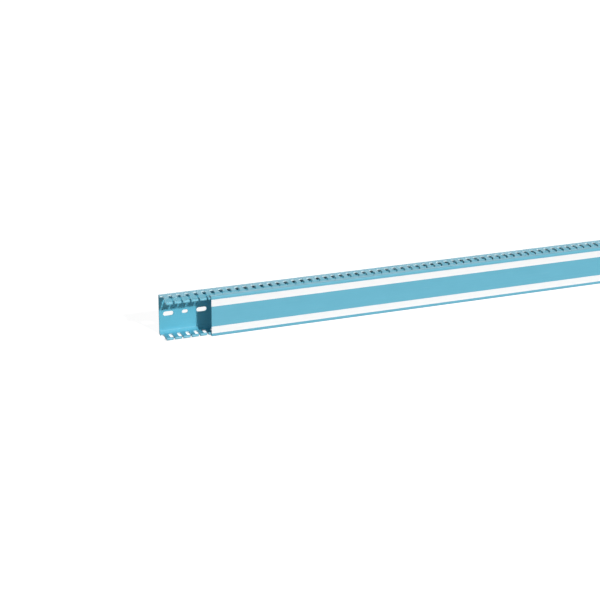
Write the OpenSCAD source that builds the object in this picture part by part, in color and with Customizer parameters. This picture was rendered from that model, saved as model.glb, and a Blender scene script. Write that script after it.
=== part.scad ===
// Slotted wiring duct: an extruded base with finger walls and a clip-on cover that slides along it.
// X runs along the duct, Y across its depth (0 at the mounting face, negative towards the cover),
// Z across its width. The origin is the centre of the mounting face. Millimetres.

/* [Duct] */
// Length of the base and of the cover
duct_length = 2000; // [300:50:3000]
// Outside width, over both side walls
duct_width = 61.5; // [50:0.5:120]
// Outside depth, from the mounting face to the front of the cover
duct_depth = 35; // [31:0.5:80]
// Thickness of the base's walls and fingers
wall_thickness = 1.8; // [1.6:0.1:2.2]
// Radius of the base's two long outer edges
base_edge_radius = 2; // [0.5:0.1:2]
// Bevel along the inside corners of the base
inner_bevel = 4; // [1:0.5:4.5]

/* [Finger slots] */
// Distance from one finger slot to the next
slot_pitch = 12.5; // [10:0.5:25]
// Width of the wide part of a finger slot, which ends in a round root
hole_width = 5.5; // [4.5:0.1:6.5]
// Width of the narrow part of a finger slot, between two finger heads
neck_width = 2.2; // [1.8:0.1:3.4]
// Height of the unslotted strip between the mounting face and the roots
root_strip = 8.8; // [7:0.2:10]
// Distance from the base's left end, sawn through the first slots, to their middle
first_slot = 1.25; // [0:0.25:2]
// Bevel across the corners of the finger tips
tip_bevel = 1; // [0.6:0.1:1.6]
// Angle at which the finger heads lean inwards, behind the cover's lips
lean_angle = 24; // [20:1:30]

/* [Clip bead] */
// Radius of the bead along the finger tips
bead_radius = 2; // [1.8:0.1:2.1]
// How far the cover's catch hooks behind the bead
catch_bite = 0.6; // [0.4:0.1:0.7]
// Width of the catch at its crest
catch_width = 0.8; // [0.5:0.1:1]

/* [Cover] */
// How far the cover is slid along the base
cover_shift = 68.5; // [0:0.5:200]
// Thickness of the cover's front
cover_thickness = 1.8; // [1.4:0.1:2.2]
// Thickness of the lips that grip the fingers
lip_thickness = 1.4; // [1:0.1:1.8]
// How far the lips reach back from the front of the cover
lip_length = 8; // [7.6:0.1:9]
// Radius of the cover's two long outer edges
cover_edge_radius = 1.5; // [0.5:0.1:2]
// Running clearance between the cover and the fingers
slide_clearance = 0.3; // [0.2:0.05:0.4]

/* [Cover bands] */
// Width of each light band on the front of the cover
band_width = 10.6; // [6:0.2:14]
// Distance from the edge of the cover to the band
band_margin = 4.7; // [2.5:0.1:6]
// Thickness of a band, let in flush with the front
band_thickness = 0.3; // [0.2:0.1:0.5]

/* [Mounting slots] */
// Length of the long mounting slots
long_slot_length = 15.5; // [12:0.5:20]
// Width of the long mounting slots
long_slot_width = 7; // [5:0.5:8]
// Length of the short mounting slots
short_slot_length = 9; // [7:0.5:12]
// Width of the short mounting slots
short_slot_width = 5.5; // [4:0.5:6]
// Distance from one long slot to the next, with a short slot midway
mounting_pitch = 50; // [45:5:100]
// Distance from the base's left end to the middle of the first long slot
first_mounting_slot = 13.75; // [12:0.25:20]

/* [Hidden] */
$fn = 48;
over = 1; // how far cutters reach past what they cut
duct_blue = [0.47, 0.73, 0.82];
band_white = [0.96, 0.97, 0.98];

left_end = -duct_length / 2;
half_width = duct_width / 2;
catch_height = slide_clearance + catch_bite;
finger_inset = lip_thickness + catch_height + slide_clearance; // the catch runs clear of the fingers
bead_depth = duct_depth - cover_thickness - slide_clearance - bead_radius;
bead_inset = lip_thickness + slide_clearance + bead_radius;
bead_back = bead_depth - sqrt(pow(bead_radius, 2) - pow(bead_radius - catch_bite, 2));
catch_front = bead_back - slide_clearance;
catch_back = catch_front - catch_width - catch_height;
tip_depth = bead_depth + bead_radius;
root_middle = root_strip + hole_width / 2;
lip_back = duct_depth - lip_length;
lip_gap = 2 * slide_clearance; // room between a finger head and the corner of the lip it leans under
lean_start = lip_back - (lip_thickness + lip_gap) / tan(lean_angle);
lean_end = lean_start + finger_inset / tan(lean_angle);
bend_shift = wall_thickness * tan(lean_angle / 2); // keeps the wall's thickness round a bend
finger_slots = floor((duct_length - first_slot - hole_width) / slot_pitch);
mounting_slots = floor((duct_length - first_mounting_slot - long_slot_length / 2) / mounting_pitch);

// Extrudes a cross-section, drawn as depth against width, along the duct.
module along_duct(start) {
    translate([start, 0, 0]) mirror([0, 1, 0]) rotate([90, 0, 90]) linear_extrude(duct_length) children();
}

// An outline for both halves of a section, from the points of its lower half.
function both_halves(half) = concat(half, [for (i = [len(half) - 1 : -1 : 0]) [half[i].x, -half[i].y]]);

// A quarter round from one angle to the next, as points.
function arc(x, y, radius, from, to) = [
    for (i = [0 : 6]) [x + radius * cos(from + (to - from) * i / 6), y + radius * sin(from + (to - from) * i / 6)]
];

// A slot with round ends, drawn along X about its middle.
module round_slot(length, width) {
    square([length - width, width], center = true);
    for (end = [-1, 1]) translate([end * (length - width) / 2, 0]) circle(d = width);
}

module base_section() {
    inner = half_width - wall_thickness;
    finger_out = half_width - finger_inset;
    finger_in = finger_out - wall_thickness;
    edge_middle = half_width - base_edge_radius;
    polygon(both_halves(concat(
        arc(base_edge_radius, -edge_middle, base_edge_radius, 180, 270),
        [
            [lean_start, -half_width],
            [lean_end, -finger_out],
            [bead_depth, -finger_out],
            [bead_depth, -finger_in],
            [lean_end - bend_shift, -finger_in],
            [lean_start - bend_shift, -inner],
            [wall_thickness + inner_bevel, -inner],
            [wall_thickness, inner_bevel - inner],
        ]
    )));
    for (side = [-1, 1]) translate([bead_depth, side * (half_width - bead_inset)]) circle(r = bead_radius);
}

// Plan of one finger slot: round root, wide part, shoulders, neck and bevelled finger tips.
module finger_slot() {
    hole_half = hole_width / 2;
    neck_half = neck_width / 2;
    shoulder_start = lean_start - hole_half + neck_half;
    mouth_half = neck_half + tip_bevel + over;
    translate([0, root_middle]) circle(d = hole_width);
    polygon([
        [-hole_half, root_middle],
        [-hole_half, shoulder_start],
        [-neck_half, lean_start],
        [-neck_half, tip_depth - tip_bevel],
        [-mouth_half, tip_depth + over],
        [mouth_half, tip_depth + over],
        [neck_half, tip_depth - tip_bevel],
        [neck_half, lean_start],
        [hole_half, shoulder_start],
        [hole_half, root_middle],
    ]);
}

module finger_slots() {
    translate([left_end + first_slot, 0, -half_width - over]) mirror([0, 1, 0])
        linear_extrude(duct_width + 2 * over) {
            for (i = [0 : finger_slots]) translate([i * slot_pitch, 0]) finger_slot();
            translate([-first_slot - over, root_middle]) square([first_slot + over, tip_depth]);
        }
}

module mounting_slots() {
    translate([left_end + first_mounting_slot, over, 0]) rotate([90, 0, 0])
        linear_extrude(wall_thickness + 2 * over)
            for (i = [0 : mounting_slots]) translate([i * mounting_pitch, 0]) {
                round_slot(long_slot_length, long_slot_width);
                if (i < mounting_slots)
                    translate([mounting_pitch / 2, 0]) round_slot(short_slot_length, short_slot_width);
            }
}

module duct_base() {
    color(duct_blue) difference() {
        along_duct(left_end) base_section();
        finger_slots();
        mounting_slots();
    }
}

module cover_section() {
    edge_middle = half_width - cover_edge_radius;
    lip_in = half_width - lip_thickness;
    catch_in = lip_in - catch_height;
    front = duct_depth - cover_thickness;
    band_edge = half_width - band_margin;
    band_seat = duct_depth - band_thickness;
    polygon(both_halves(concat(
        [
            [front, -lip_in],
            [catch_front, -lip_in],
            [catch_front, -catch_in],
            [catch_front - catch_width, -catch_in],
            [catch_back, -lip_in],
            [lip_back, -lip_in],
            [lip_back, -half_width],
        ],
        arc(duct_depth - cover_edge_radius, -edge_middle, cover_edge_radius, 270, 360),
        [
            [duct_depth, -band_edge],
            [band_seat, -band_edge],
            [band_seat, band_width - band_edge],
            [duct_depth, band_width - band_edge],
        ]
    )));
}

module cover() {
    color(duct_blue) along_duct(left_end + cover_shift) cover_section();
}

module cover_band() {
    translate([duct_depth - band_thickness, half_width - band_margin - band_width])
        square([band_thickness, band_width]);
}

module cover_band_upper() {
    color(band_white) along_duct(left_end + cover_shift) cover_band();
}

module cover_band_lower() {
    color(band_white) along_duct(left_end + cover_shift) mirror([0, 1]) cover_band();
}

duct_base();
cover();
cover_band_upper();
cover_band_lower();
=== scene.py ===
import math
import bpy
from mathutils import Matrix, Vector


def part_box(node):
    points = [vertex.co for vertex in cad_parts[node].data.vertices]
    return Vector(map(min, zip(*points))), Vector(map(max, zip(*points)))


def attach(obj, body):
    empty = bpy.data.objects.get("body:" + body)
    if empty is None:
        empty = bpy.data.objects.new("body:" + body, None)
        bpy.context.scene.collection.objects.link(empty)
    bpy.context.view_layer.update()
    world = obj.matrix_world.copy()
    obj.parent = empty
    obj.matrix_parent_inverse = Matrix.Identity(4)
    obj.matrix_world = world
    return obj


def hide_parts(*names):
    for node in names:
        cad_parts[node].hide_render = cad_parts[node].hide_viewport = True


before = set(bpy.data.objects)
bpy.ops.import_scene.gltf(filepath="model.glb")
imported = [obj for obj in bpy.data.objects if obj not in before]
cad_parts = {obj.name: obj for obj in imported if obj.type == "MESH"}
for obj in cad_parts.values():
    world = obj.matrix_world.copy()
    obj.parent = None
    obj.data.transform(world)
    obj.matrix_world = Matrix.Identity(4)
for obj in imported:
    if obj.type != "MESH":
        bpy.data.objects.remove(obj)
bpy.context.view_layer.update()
print("frame loaded", list(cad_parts))

mm = 0.001
cutterReach = 1 * mm   # how far a cutter stands past what it cuts
nearGap = 0.002 * mm   # points nearer to each other than this are one
sharpAngle = 40        # edges that turn by more than this get a bevel
smoothAngle = 30       # faces that turn by less than this are shaded as one
baseLow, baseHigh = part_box("duct_base")
coverLow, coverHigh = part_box("cover")
leftEnd, rightEnd = baseLow[0], baseHigh[0]
halfWidth = baseHigh[2]
coverFront, lipBack = -coverLow[1], -coverHigh[1]  # depths, from the mounting face

cameraSettings = {
    "alongFromLeftEnd": 0.2039,  # where the view is aimed
    "heightOverFloor": 0.0391,
    "azimuth": -21.297,          # degrees, round to the open end from square on
    "elevation": 21.479,
    "roll": 0.729,
    "distance": 2.0281,
    "lens": 83.253,
    "sensorWidth": 36,
}


# Which way a camera or lamp stands. Azimuths go round from in front of the cover towards the right end.
def outwards(settings):
    azimuth = math.radians(settings["azimuth"])
    elevation = math.radians(settings["elevation"])
    level = math.cos(elevation)
    return Vector((math.sin(azimuth) * level, -math.cos(azimuth) * level, math.sin(elevation)))


def aimCamera(settings):
    along = leftEnd + settings["alongFromLeftEnd"]
    aim = Vector((along, coverLow[1], baseLow[2] + settings["heightOverFloor"]))
    stand = outwards(settings)
    bpy.ops.object.camera_add(location=aim + stand * settings["distance"])
    camera = bpy.context.object
    camera.name = "viewCamera"
    roll = Matrix.Rotation(math.radians(settings["roll"]), 3, "Z")
    camera.rotation_euler = (stand.to_track_quat("Z", "Y").to_matrix() @ roll).to_euler()
    camera.data.lens = settings["lens"]
    camera.data.sensor_width = settings["sensorWidth"]
    bpy.context.scene.camera = camera


aimCamera(cameraSettings)
print("camera aimed")


# Puts a number, a colour or another node's output into a socket.
def feed(tree, socket, given):
    if isinstance(given, bpy.types.NodeSocket):
        tree.links.new(given, socket)
    elif isinstance(given, tuple):
        socket.default_value = (*given, 1)
    else:
        socket.default_value = given


def addMath(tree, operation, *given):
    node = tree.nodes.new("ShaderNodeMath")
    node.operation = operation
    for socket, value in zip(node.inputs, given):
        feed(tree, socket, value)
    return node.outputs[0]


def addRange(tree, value, fromMin, fromMax, toMin, toMax, smooth=False):
    node = tree.nodes.new("ShaderNodeMapRange")
    node.interpolation_type = "SMOOTHSTEP" if smooth else "LINEAR"
    labels = ("Value", "From Min", "From Max", "To Min", "To Max")
    for label, given in zip(labels, (value, fromMin, fromMax, toMin, toMax)):
        feed(tree, node.inputs[label], given)
    return node.outputs["Result"]


lightSettings = {
    "keyLight": {"azimuth": 21, "elevation": 31, "strength": 2.68, "angle": 4},
    "sideLight": {"azimuth": -46, "elevation": 5, "strength": 0.55, "angle": 25},  # low, into the open end
    "backLight": {"azimuth": 170, "elevation": 3, "strength": 1.3, "angle": 60},
}
skyStrength = 0.15
lampDistance = 3


def addSun(name, settings):
    stand = outwards(settings)
    bpy.ops.object.light_add(type="SUN", location=stand * lampDistance)
    sun = bpy.context.object
    sun.name = name
    sun.rotation_euler = stand.to_track_quat("Z", "Y").to_euler()
    sun.data.energy = settings["strength"]
    sun.data.angle = math.radians(settings["angle"])


# 1 where the camera sees a surface straight or by way of another, 0 for the light that falls on the duct.
def whenSeen(tree):
    path = tree.nodes.new("ShaderNodeLightPath")
    seen = path.outputs["Is Camera Ray"]
    for label in ("Is Glossy Ray", "Is Transmission Ray"):
        seen = addMath(tree, "MAXIMUM", seen, path.outputs[label])
    return seen


def setSky(strengthAsLight):
    world = bpy.data.worlds.new("studioSky")
    world.use_nodes = True
    tree = world.node_tree
    background = tree.nodes["Background"]
    background.inputs["Color"].default_value = (1, 1, 1, 1)
    strength = addRange(tree, whenSeen(tree), 0, 1, strengthAsLight, 1)
    tree.links.new(strength, background.inputs["Strength"])
    bpy.context.scene.world = world


for name, settings in lightSettings.items():
    addSun(name, settings)
setSky(skyStrength)
print("lights set")

floorSettings = {
    "size": 40,
    "colour": (0.32, 0.32, 0.32),
    "roughness": 0.9,
    "glow": 0.9,  # what the floor adds where it is seen, so that it shows white
}


def makeFloor(settings):
    bpy.ops.mesh.primitive_plane_add(size=settings["size"], location=(0, 0, baseLow[2]))
    floor = bpy.context.object
    floor.name = "floor"
    material = bpy.data.materials.new("paleFloor")
    material.use_nodes = True
    tree = material.node_tree
    shader = tree.nodes["Principled BSDF"]
    shader.inputs["Base Color"].default_value = (*settings["colour"], 1)
    shader.inputs["Roughness"].default_value = settings["roughness"]
    shader.inputs["Specular IOR Level"].default_value = 0
    shader.inputs["Emission Color"].default_value = (1, 1, 1, 1)
    glow = addMath(tree, "MULTIPLY", whenSeen(tree), settings["glow"])
    tree.links.new(glow, shader.inputs["Emission Strength"])
    floor.data.materials.append(material)


makeFloor(floorSettings)
print("floor laid")


def roundPoints(x, y, radius, start, end, steps):
    angles = [math.radians(start + (end - start) * i / steps) for i in range(steps + 1)]
    return [(x + radius * math.cos(a), y + radius * math.sin(a)) for a in angles]


def bothHalves(lower):
    return lower + [(x, -y) for x, y in reversed(lower)]


def barPoints(section, x):
    return [(x, -depth, across) for depth, across in section]


def selectOnly(piece, *others):
    bpy.ops.object.select_all(action="DESELECT")
    for one in (*others, piece):
        one.select_set(True)
    bpy.context.view_layer.objects.active = piece


# Traces an outline point by point, fills it and pulls it out into a solid bar.
def pullOutline(name, points, pull):
    bpy.ops.object.select_all(action="DESELECT")
    bpy.ops.mesh.primitive_plane_add(size=mm, location=(0, 0, 0))
    piece = bpy.context.object
    piece.name = name
    bpy.ops.object.mode_set(mode="EDIT")
    bpy.ops.mesh.select_all(action="SELECT")
    bpy.ops.mesh.merge(type="CENTER")
    bpy.ops.transform.translate(value=points[0])
    for before, after in zip(points, points[1:]):
        step = tuple(Vector(after) - Vector(before))
        bpy.ops.mesh.extrude_vertices_move(TRANSFORM_OT_translate={"value": step})
    bpy.ops.mesh.select_all(action="SELECT")
    bpy.ops.mesh.edge_face_add()
    bpy.ops.mesh.extrude_region_move(TRANSFORM_OT_translate={"value": pull})
    bpy.ops.mesh.select_all(action="SELECT")
    bpy.ops.mesh.normals_make_consistent(inside=False)
    bpy.ops.object.mode_set(mode="OBJECT")
    return piece


def joinPieces(pieces):
    selectOnly(*pieces)
    bpy.ops.object.join()
    return pieces[0]


def copyPiece(piece, name, shift=0):
    twin = piece.copy()
    twin.data = piece.data.copy()
    twin.name = name
    bpy.context.collection.objects.link(twin)
    twin.data.transform(Matrix.Translation((shift, 0, 0)))
    return twin


def cutAway(piece, cutter):
    selectOnly(piece)
    cut = piece.modifiers.new("cut", "BOOLEAN")
    cut.operation = "DIFFERENCE"
    cut.solver = "EXACT"
    cut.object = cutter
    bpy.ops.object.modifier_apply(modifier="cut")
    bpy.data.objects.remove(cutter)


def mergeDoubles(piece, threshold):
    selectOnly(piece)
    bpy.ops.object.mode_set(mode="EDIT")
    bpy.ops.mesh.select_all(action="SELECT")
    bpy.ops.mesh.remove_doubles(threshold=threshold)
    bpy.ops.object.mode_set(mode="OBJECT")


def softenEdges(piece, width):
    mergeDoubles(piece, width / 2)
    soft = piece.modifiers.new("soft", "BEVEL")
    soft.width = width
    soft.segments = 1
    soft.limit_method = "ANGLE"
    soft.angle_limit = math.radians(sharpAngle)
    soft.use_clamp_overlap = False
    bpy.ops.object.modifier_apply(modifier="soft")
    mergeDoubles(piece, nearGap)


# Opens a piece where the next one joins on.
def openEnds(piece, *places):
    selectOnly(piece)
    bpy.ops.object.mode_set(mode="EDIT")
    bpy.ops.mesh.select_mode(type="FACE")
    bpy.ops.mesh.select_all(action="DESELECT")
    bpy.ops.object.mode_set(mode="OBJECT")
    for face in piece.data.polygons:
        isEnd = any(abs(face.center.x - x) < nearGap for x in places)
        face.select = isEnd and abs(face.normal.x) > 0.99  # faces along the duct
    bpy.ops.object.mode_set(mode="EDIT")
    bpy.ops.mesh.delete(type="ONLY_FACE")
    bpy.ops.mesh.select_mode(type="VERT")
    bpy.ops.object.mode_set(mode="OBJECT")


ductShape = {
    "wall": 1.8 * mm,
    "edgeRadius": 2 * mm,
    "innerBevel": 4 * mm,
    "leanAngle": 24,           # of the finger heads, inwards
    "beadRadius": 2 * mm,
    "slotPitch": 12.5 * mm,
    "firstSlot": 1.25 * mm,    # from the left end to the middle of the first finger slot
    "rootStrip": 8.8 * mm,     # left uncut below the slots
    "holeHalf": 2.75 * mm,     # half the width of a slot's wide part
    "neckHalf": 1.1 * mm,      # half the gap between two heads
    "tipBevel": 1 * mm,
    "mountingPitch": 50 * mm,
    "long": (13.75 * mm, 15.5 * mm, 7 * mm),  # mounting slots: middle of the first, length, width
    "short": (38.75 * mm, 9 * mm, 5.5 * mm),
    "edgeSteps": 6,
    "beadSteps": 14,
    "rootSteps": 14,
    "mountingSteps": 10,
    "softness": 0.1 * mm,      # width of the bevel along sharp edges
}
coverShape = {
    "front": 1.8 * mm,
    "lip": 1.4 * mm,
    "edgeRadius": 1.5 * mm,
    "clearance": 0.3 * mm,     # between the cover and the fingers
    "catchBite": 0.6 * mm,     # how far a catch hooks behind the beads
    "catchWidth": 0.8 * mm,
    "bandMargin": 4.7 * mm,
    "bandWidth": 10.6 * mm,
    "bandSeat": 0.3 * mm,
    "edgeSteps": 7,
    "softness": 0.15 * mm,
}


# The depths at which the fingers bend and carry their bead, set by the cover that clips over them.
def workOutFit(duct, cover):
    lean = math.radians(duct["leanAngle"])
    radius = duct["beadRadius"]
    biteBack = math.sqrt(radius ** 2 - (radius - cover["catchBite"]) ** 2)
    fit = {"catchHeight": cover["clearance"] + cover["catchBite"]}
    fit["headInset"] = cover["lip"] + fit["catchHeight"] + cover["clearance"]
    fit["beadDepth"] = coverFront - cover["front"] - cover["clearance"] - radius
    fit["beadInset"] = cover["lip"] + cover["clearance"] + radius
    fit["catchFront"] = fit["beadDepth"] - biteBack - cover["clearance"]
    fit["leanStart"] = lipBack - (cover["lip"] + 2 * cover["clearance"]) / math.tan(lean)
    fit["leanEnd"] = fit["leanStart"] + fit["headInset"] / math.tan(lean)
    fit["bendShift"] = duct["wall"] * math.tan(lean / 2)  # keeps the wall's thickness round a bend
    fit["tip"] = fit["beadDepth"] + radius
    fit["rootMiddle"] = duct["rootStrip"] + duct["holeHalf"]
    fit["shoulder"] = fit["leanStart"] - duct["holeHalf"] + duct["neckHalf"]
    return fit


def ductSection(duct, fit):
    inner = halfWidth - duct["wall"]
    headOut = halfWidth - fit["headInset"]
    headIn = headOut - duct["wall"]
    beadMiddle = halfWidth - fit["beadInset"]
    edge = duct["edgeRadius"]
    radius = duct["beadRadius"]
    outAngle = math.degrees(math.asin((headOut - beadMiddle) / radius))
    inAngle = math.degrees(math.asin((beadMiddle - headIn) / radius))
    return bothHalves([
        *roundPoints(edge, edge - halfWidth, edge, 180, 270, duct["edgeSteps"]),
        (fit["leanStart"], -halfWidth),
        (fit["leanEnd"], -headOut),
        *roundPoints(fit["beadDepth"], -beadMiddle, radius, outAngle - 180, 180 - inAngle, duct["beadSteps"]),
        (fit["leanEnd"] - fit["bendShift"], -headIn),
        (fit["leanStart"] - fit["bendShift"], -inner),
        (duct["wall"] + duct["innerBevel"], -inner),
        (duct["wall"], duct["innerBevel"] - inner),
    ])


# Round root, wide part, shoulders, neck and bevelled tips, through both side walls at once.
def fingerSlotCutter(duct, fit, x):
    hole, neck, bevel = duct["holeHalf"], duct["neckHalf"], duct["tipBevel"]
    right = [
        (hole, fit["shoulder"]),
        (neck, fit["leanStart"]),
        (neck, fit["tip"] - bevel),
        (neck + bevel + cutterReach, fit["tip"] + cutterReach),
    ]
    plan = roundPoints(0, fit["rootMiddle"], hole, 180, 360, duct["rootSteps"]) + right
    plan += [(-across, depth) for across, depth in reversed(right)]
    low = -halfWidth - cutterReach
    points = [(x + across, -depth, low) for across, depth in plan]
    return pullOutline("fingerCutter", points, (0, 0, -2 * low))


def mountingSlotCutter(duct, kind):
    middle, length, width = duct[kind]
    radius = width / 2
    reach = length / 2 - radius
    plan = roundPoints(reach, 0, radius, -90, 90, duct["mountingSteps"])
    plan += roundPoints(-reach, 0, radius, 90, 270, duct["mountingSteps"])
    points = [(leftEnd + middle + x, cutterReach, z) for x, z in plan]
    return pullOutline("mountingCutter", points, (0, -duct["wall"] - 2 * cutterReach, 0))


def saw(piece, low, high):
    middle = [(a + b) / 2 for a, b in zip(low, high)]
    bpy.ops.mesh.primitive_cube_add(size=1, location=middle, scale=[b - a for a, b in zip(low, high)])
    cutAway(piece, bpy.context.object)


# One mounting pitch of the base is modelled and copied along it. The first is sawn through its finger slot,
# the last has no short mounting slot, and a plain end follows it.
def makeDuctBase(duct, fit):
    section = ductSection(duct, fit)
    length = duct["mountingPitch"]
    firstSlot = leftEnd + duct["firstSlot"]
    start = firstSlot - duct["slotPitch"] / 2
    count = int((rightEnd - start) / length)
    endStart = start + count * length
    unit = pullOutline("ductUnit", barPoints(section, start), (length, 0, 0))
    cutter = fingerSlotCutter(duct, fit, firstSlot)
    slotCount = round(length / duct["slotPitch"])
    others = [copyPiece(cutter, "cutter%d" % i, i * duct["slotPitch"]) for i in range(1, slotCount)]
    cutAway(unit, joinPieces([cutter, *others, mountingSlotCutter(duct, "long")]))
    last = copyPiece(unit, "lastUnit", (count - 1) * length)
    cutAway(unit, mountingSlotCutter(duct, "short"))
    sawn = copyPiece(unit, "sawnUnit")
    past = start - cutterReach
    across = halfWidth + cutterReach
    saw(sawn, (past, -coverFront, -across), (firstSlot, -fit["rootMiddle"], across))
    saw(sawn, (past, -coverFront, -across), (leftEnd, cutterReach, across))
    plainEnd = pullOutline("plainEnd", barPoints(section, endStart), (rightEnd - endStart, 0, 0))
    openEnds(unit, start, start + length)
    openEnds(last, endStart - length, endStart)
    openEnds(sawn, start + length)
    openEnds(plainEnd, endStart)
    for piece in (unit, last, sawn, plainEnd):
        softenEdges(piece, duct["softness"])
    copies = [copyPiece(unit, "unit%d" % i, i * length) for i in range(1, count - 1)]
    bpy.data.objects.remove(unit)
    base = joinPieces([sawn, *copies, last, plainEnd])
    base.name = "ductBase"
    mergeDoubles(base, nearGap)
    return base


def coverSection(cover, fit):
    lipIn = halfWidth - cover["lip"]
    catchIn = lipIn - fit["catchHeight"]
    catchBack = fit["catchFront"] - cover["catchWidth"]
    edge = cover["edgeRadius"]
    bandOut = halfWidth - cover["bandMargin"]
    bandIn = bandOut - cover["bandWidth"]
    seat = coverFront - cover["bandSeat"]
    return bothHalves([
        (coverFront - cover["front"], -lipIn),
        (fit["catchFront"], -lipIn),
        (fit["catchFront"], -catchIn),
        (catchBack, -catchIn),
        (catchBack - fit["catchHeight"], -lipIn),
        (lipBack, -lipIn),
        (lipBack, -halfWidth),
        *roundPoints(coverFront - edge, edge - halfWidth, edge, 270, 360, cover["edgeSteps"]),
        (coverFront, -bandOut),
        (seat, -bandOut),
        (seat, -bandIn),
        (coverFront, -bandIn),
    ])


def makeCover(cover, fit):
    points = barPoints(coverSection(cover, fit), coverLow[0])
    piece = pullOutline("clipCover", points, (coverHigh[0] - coverLow[0], 0, 0))
    softenEdges(piece, cover["softness"])
    return piece


fit = workOutFit(ductShape, coverShape)
ductBase = makeDuctBase(ductShape, fit)
clipCover = makeCover(coverShape, fit)
standsFor = {
    ductBase: ("base", "duct_base", "duct_pvc"),
    clipCover: ("cover", "cover", "cover_pvc"),
}
for piece, (body, node, slot) in standsFor.items():
    selectOnly(piece)
    bpy.ops.object.shade_smooth_by_angle(angle=math.radians(smoothAngle))
    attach(piece, body)
    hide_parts(node)
    print(piece.name, "shaped,", sum(len(face.vertices) - 2 for face in piece.data.polygons), "triangles")


def newGroup(name, inputs, outputs):
    group = bpy.data.node_groups.new(name, "ShaderNodeTree")
    for label, kind in inputs.items():
        group.interface.new_socket(name=label, in_out="INPUT", socket_type=kind)
    for label in outputs:
        group.interface.new_socket(name=label, in_out="OUTPUT", socket_type="NodeSocketFloat")
    return group, group.nodes.new("NodeGroupInput"), group.nodes.new("NodeGroupOutput")


def addNoise(tree, vector, settings):
    mapping = tree.nodes.new("ShaderNodeMapping")
    mapping.inputs["Scale"].default_value = settings["repeats"]
    tree.links.new(vector, mapping.inputs["Vector"])
    noise = tree.nodes.new("ShaderNodeTexNoise")
    noise.inputs["Scale"].default_value = 1
    noise.inputs["Detail"].default_value = settings["detail"]
    noise.inputs["Roughness"].default_value = settings["roughness"]
    tree.links.new(mapping.outputs["Vector"], noise.inputs["Vector"])
    return noise.outputs["Fac"]


def mixColour(tree, factor, first, second):
    node = tree.nodes.new("ShaderNodeMix")
    node.data_type = "RGBA"
    feed(tree, node.inputs["Factor"], factor)
    feed(tree, node.inputs[6], first)   # the two colours
    feed(tree, node.inputs[7], second)
    return node.outputs[2]


# How often each noise repeats in a metre along, through and across the duct, and its fineness.
skinSettings = {
    "dieLines": {"repeats": (1.5, 1400, 1400), "detail": 3, "roughness": 0.6},
    "clouding": {"repeats": (26, 60, 60), "detail": 4, "roughness": 0.55},
    "grain": {"repeats": (2600, 2600, 2600), "detail": 2, "roughness": 0.5},
    "scuffs": {"repeats": (14, 420, 420), "detail": 5, "roughness": 0.7},
    "span": (0.3, 0.7),        # of a noise, which turns into -1 to 1
    "scuffSpan": (0.62, 0.76),  # of the scuffs' noise, from untouched to rubbed
    "grainTone": 0.012,
    "cloudRoughening": 0.035,
    "grainRoughening": 0.02,
    "scuffRoughening": 0.12,
    "grainHeight": 0.35,       # against the die lines
}
highlightSettings = {
    "width": 0.7 * mm,         # of the painted highlight along a punched slot's outline
    "fade": 3 * mm,            # over which it fades before the neck
    "headFade": 1 * mm,        # past the neck's start, where the painted sheen on the head begins
    "mottle": {"repeats": (420, 420, 420), "detail": 3, "roughness": 0.5},
    "mottleSpan": (0.35, 0.65),
    "leastMottle": 0.45,
}


# What extruding leaves all over: die lines along the length, clouding, a fine grain and a few rubbed places.
def makeSkinGroup(settings):
    inputs = {"Vector": "NodeSocketVector"}
    inputs.update({label: "NodeSocketFloat" for label in ("Lines", "Clouding", "Roughness")})
    group, given, result = newGroup("extrudedSkin", inputs, ("Tone", "Scuff", "Roughness", "Height"))
    vector = given.outputs["Vector"]
    noises = [addNoise(group, vector, settings[label]) for label in ("dieLines", "clouding", "grain")]
    lines, clouds, grain = [addRange(group, noise, *settings["span"], -1, 1) for noise in noises]
    scuffs = addNoise(group, vector, settings["scuffs"])
    rubbed = addRange(group, scuffs, *settings["scuffSpan"], 0, 1, True)
    tone = addMath(group, "MULTIPLY_ADD", grain, settings["grainTone"], 1.0)
    tone = addMath(group, "MULTIPLY_ADD", lines, given.outputs["Lines"], tone)
    tone = addMath(group, "MULTIPLY_ADD", clouds, given.outputs["Clouding"], tone)
    rough = addMath(group, "MULTIPLY_ADD", clouds, settings["cloudRoughening"], given.outputs["Roughness"])
    rough = addMath(group, "MULTIPLY_ADD", grain, settings["grainRoughening"], rough)
    rough = addMath(group, "MULTIPLY_ADD", rubbed, settings["scuffRoughening"], rough)
    height = addMath(group, "MULTIPLY_ADD", grain, settings["grainHeight"], lines)
    for label, value in (("Tone", tone), ("Scuff", rubbed), ("Roughness", rough), ("Height", height)):
        group.links.new(value, result.inputs[label])
    return group
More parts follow.
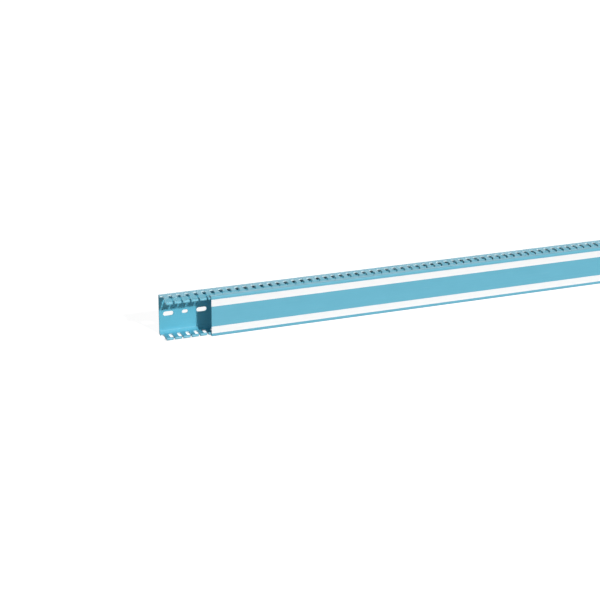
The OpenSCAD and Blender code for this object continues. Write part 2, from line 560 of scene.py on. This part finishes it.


# Painted highlights: how near a point is to the punched outline of its finger slot, where the cut faces are
# painted pale, and whether it is on a finger head, which gets a painted sheen.
def makeHighlightGroup(settings, duct, fit):
    group, given, result = newGroup("slotAndHeadHighlights", {"Vector": "NodeSocketVector"}, ("Rim", "Root", "Tip"))
    split = group.nodes.new("ShaderNodeSeparateXYZ")
    group.links.new(given.outputs["Vector"], split.inputs[0])
    hole, neck, shoulder, neckStart = duct["holeHalf"], duct["neckHalf"], fit["shoulder"], fit["leanStart"]
    along = addMath(group, "SUBTRACT", split.outputs["X"], leftEnd + duct["firstSlot"])
    across = addMath(group, "PINGPONG", along, duct["slotPitch"] / 2)
    depth = addMath(group, "MULTIPLY", split.outputs["Y"], -1.0)
    slotSide = addRange(group, depth, shoulder, neckStart, hole, neck)
    sideGap = addMath(group, "ABSOLUTE", addMath(group, "SUBTRACT", across, slotSide))
    fromMiddle = addMath(group, "SUBTRACT", depth, fit["rootMiddle"])
    depthSquare = addMath(group, "MULTIPLY", fromMiddle, fromMiddle)
    square = addMath(group, "MULTIPLY_ADD", across, across, depthSquare)
    rootGap = addMath(group, "ABSOLUTE", addMath(group, "SUBTRACT", addMath(group, "SQRT", square), hole))
    width = settings["width"]
    # painted highlight along the wide part's sides and round the slot's root
    sideRim, rootRim = [addRange(group, gap, width / 4, width, 1, 0, True) for gap in (sideGap, rootGap)]
    pastRoot = addMath(group, "GREATER_THAN", fromMiddle, 0.0)
    beforeNeck = addRange(group, depth, shoulder - settings["fade"], shoulder, 1, 0, True)
    rim = addMath(group, "MULTIPLY", addMath(group, "MULTIPLY", sideRim, pastRoot), beforeNeck)
    root = addMath(group, "MULTIPLY", rootRim, addMath(group, "SUBTRACT", 1.0, pastRoot))
    # painted sheen on the finger heads, mottled
    head = addRange(group, depth, shoulder, neckStart + settings["headFade"], 0, 1, True)
    mottle = addNoise(group, given.outputs["Vector"], settings["mottle"])
    mottle = addRange(group, mottle, *settings["mottleSpan"], settings["leastMottle"], 1)
    tip = addMath(group, "MULTIPLY", head, mottle)
    for label, value in (("Rim", rim), ("Root", root), ("Tip", tip)):
        group.links.new(value, result.inputs[label])
    return group


skinGroup = makeSkinGroup(skinSettings)
highlightGroup = makeHighlightGroup(highlightSettings, ductShape, fit)

# "rim", "root" and "tip" say how far the painted highlights on the punched edges and slot roots and the
# painted sheen on the finger heads turn to the pale colour, which the scuffs also use.
ductFinish = {
    "dark": (0.1, 0.43, 0.58), "light": (0.155, 0.55, 0.71), "wornAndHighlight": (0.66, 0.88, 0.94),
    "lines": 0.035, "clouding": 0.03, "scuffing": 0.12,
    "roughness": 0.42, "specular": 0.3, "bump": 0.5,
    "rim": 0.45, "root": 1.0, "tip": 0.16, "rimRoughening": 0.15,
}
coverFinish = {
    "dark": (0.125, 0.425, 0.565), "light": (0.18, 0.54, 0.69), "wornAndHighlight": (0.8, 0.9, 0.93),
    "lines": 0.03, "clouding": 0.025, "scuffing": 0.08,
    "roughness": 0.4, "specular": 0.3, "bump": 0.4,
}
bandFinish = {
    "dark": (0.955, 0.96, 0.96), "light": (1, 1, 1), "wornAndHighlight": (0.8, 0.82, 0.83),
    "lines": 0.03, "clouding": 0.02, "scuffing": 0.1,
    "roughness": 0.36, "specular": 0.35, "bump": 0.3,
}
toneSpan = (0.85, 1.15)  # from the dark to the light colour
bumpDepth = 0.02 * mm


def placeGroup(tree, group, place):
    node = tree.nodes.new("ShaderNodeGroup")
    node.node_tree = group
    tree.links.new(place, node.inputs["Vector"])
    return node


def makePlastic(name, settings):
    material = bpy.data.materials.new(name)
    material.use_nodes = True
    tree = material.node_tree
    shader = tree.nodes["Principled BSDF"]
    place = tree.nodes.new("ShaderNodeTexCoord").outputs["Object"]
    skin = placeGroup(tree, skinGroup, place)
    for label in ("Lines", "Clouding", "Roughness"):
        skin.inputs[label].default_value = settings[label.lower()]
    shade = addRange(tree, skin.outputs["Tone"], *toneSpan, 0, 1)
    colour = mixColour(tree, shade, settings["dark"], settings["light"])
    wearAndHighlights = [(skin.outputs["Scuff"], settings["scuffing"])]
    rough = skin.outputs["Roughness"]
    # painted highlights on the slot edges and roots and painted sheen on the finger heads, mixed in like the
    # scuffs
    if "rim" in settings:
        rim = placeGroup(tree, highlightGroup, place)
        wearAndHighlights += [(rim.outputs[label], settings[label.lower()]) for label in ("Rim", "Root", "Tip")]
        rough = addMath(tree, "MULTIPLY_ADD", rim.outputs["Rim"], settings["rimRoughening"], rough)
    for mask, amount in wearAndHighlights:
        colour = mixColour(tree, addMath(tree, "MULTIPLY", mask, amount), colour, settings["wornAndHighlight"])
    tree.links.new(colour, shader.inputs["Base Color"])
    tree.links.new(rough, shader.inputs["Roughness"])
    shader.inputs["Specular IOR Level"].default_value = settings["specular"]
    bump = tree.nodes.new("ShaderNodeBump")
    bump.inputs["Strength"].default_value = settings["bump"]
    bump.inputs["Distance"].default_value = bumpDepth
    tree.links.new(skin.outputs["Height"], bump.inputs["Height"])
    tree.links.new(bump.outputs["Normal"], shader.inputs["Normal"])
    return material


ductPvc = makePlastic("ductPvc", ductFinish)
coverPvc = makePlastic("coverPvc", coverFinish)
whiteBand = makePlastic("whiteBand", bandFinish)
for piece, finish in ((ductBase, ductPvc), (clipCover, coverPvc)):
    piece.data.materials.clear()
    piece.data.materials.append(finish)
nodeFinishes = {
    "duct_base": ductPvc,
    "cover": coverPvc,
    "cover_band_upper": whiteBand,
    "cover_band_lower": whiteBand,
}
for name, finish in nodeFinishes.items():
    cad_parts[name].material_slots[0].material = finish
print("finishes made")

bpy.context.scene.view_settings.view_transform = "Standard"
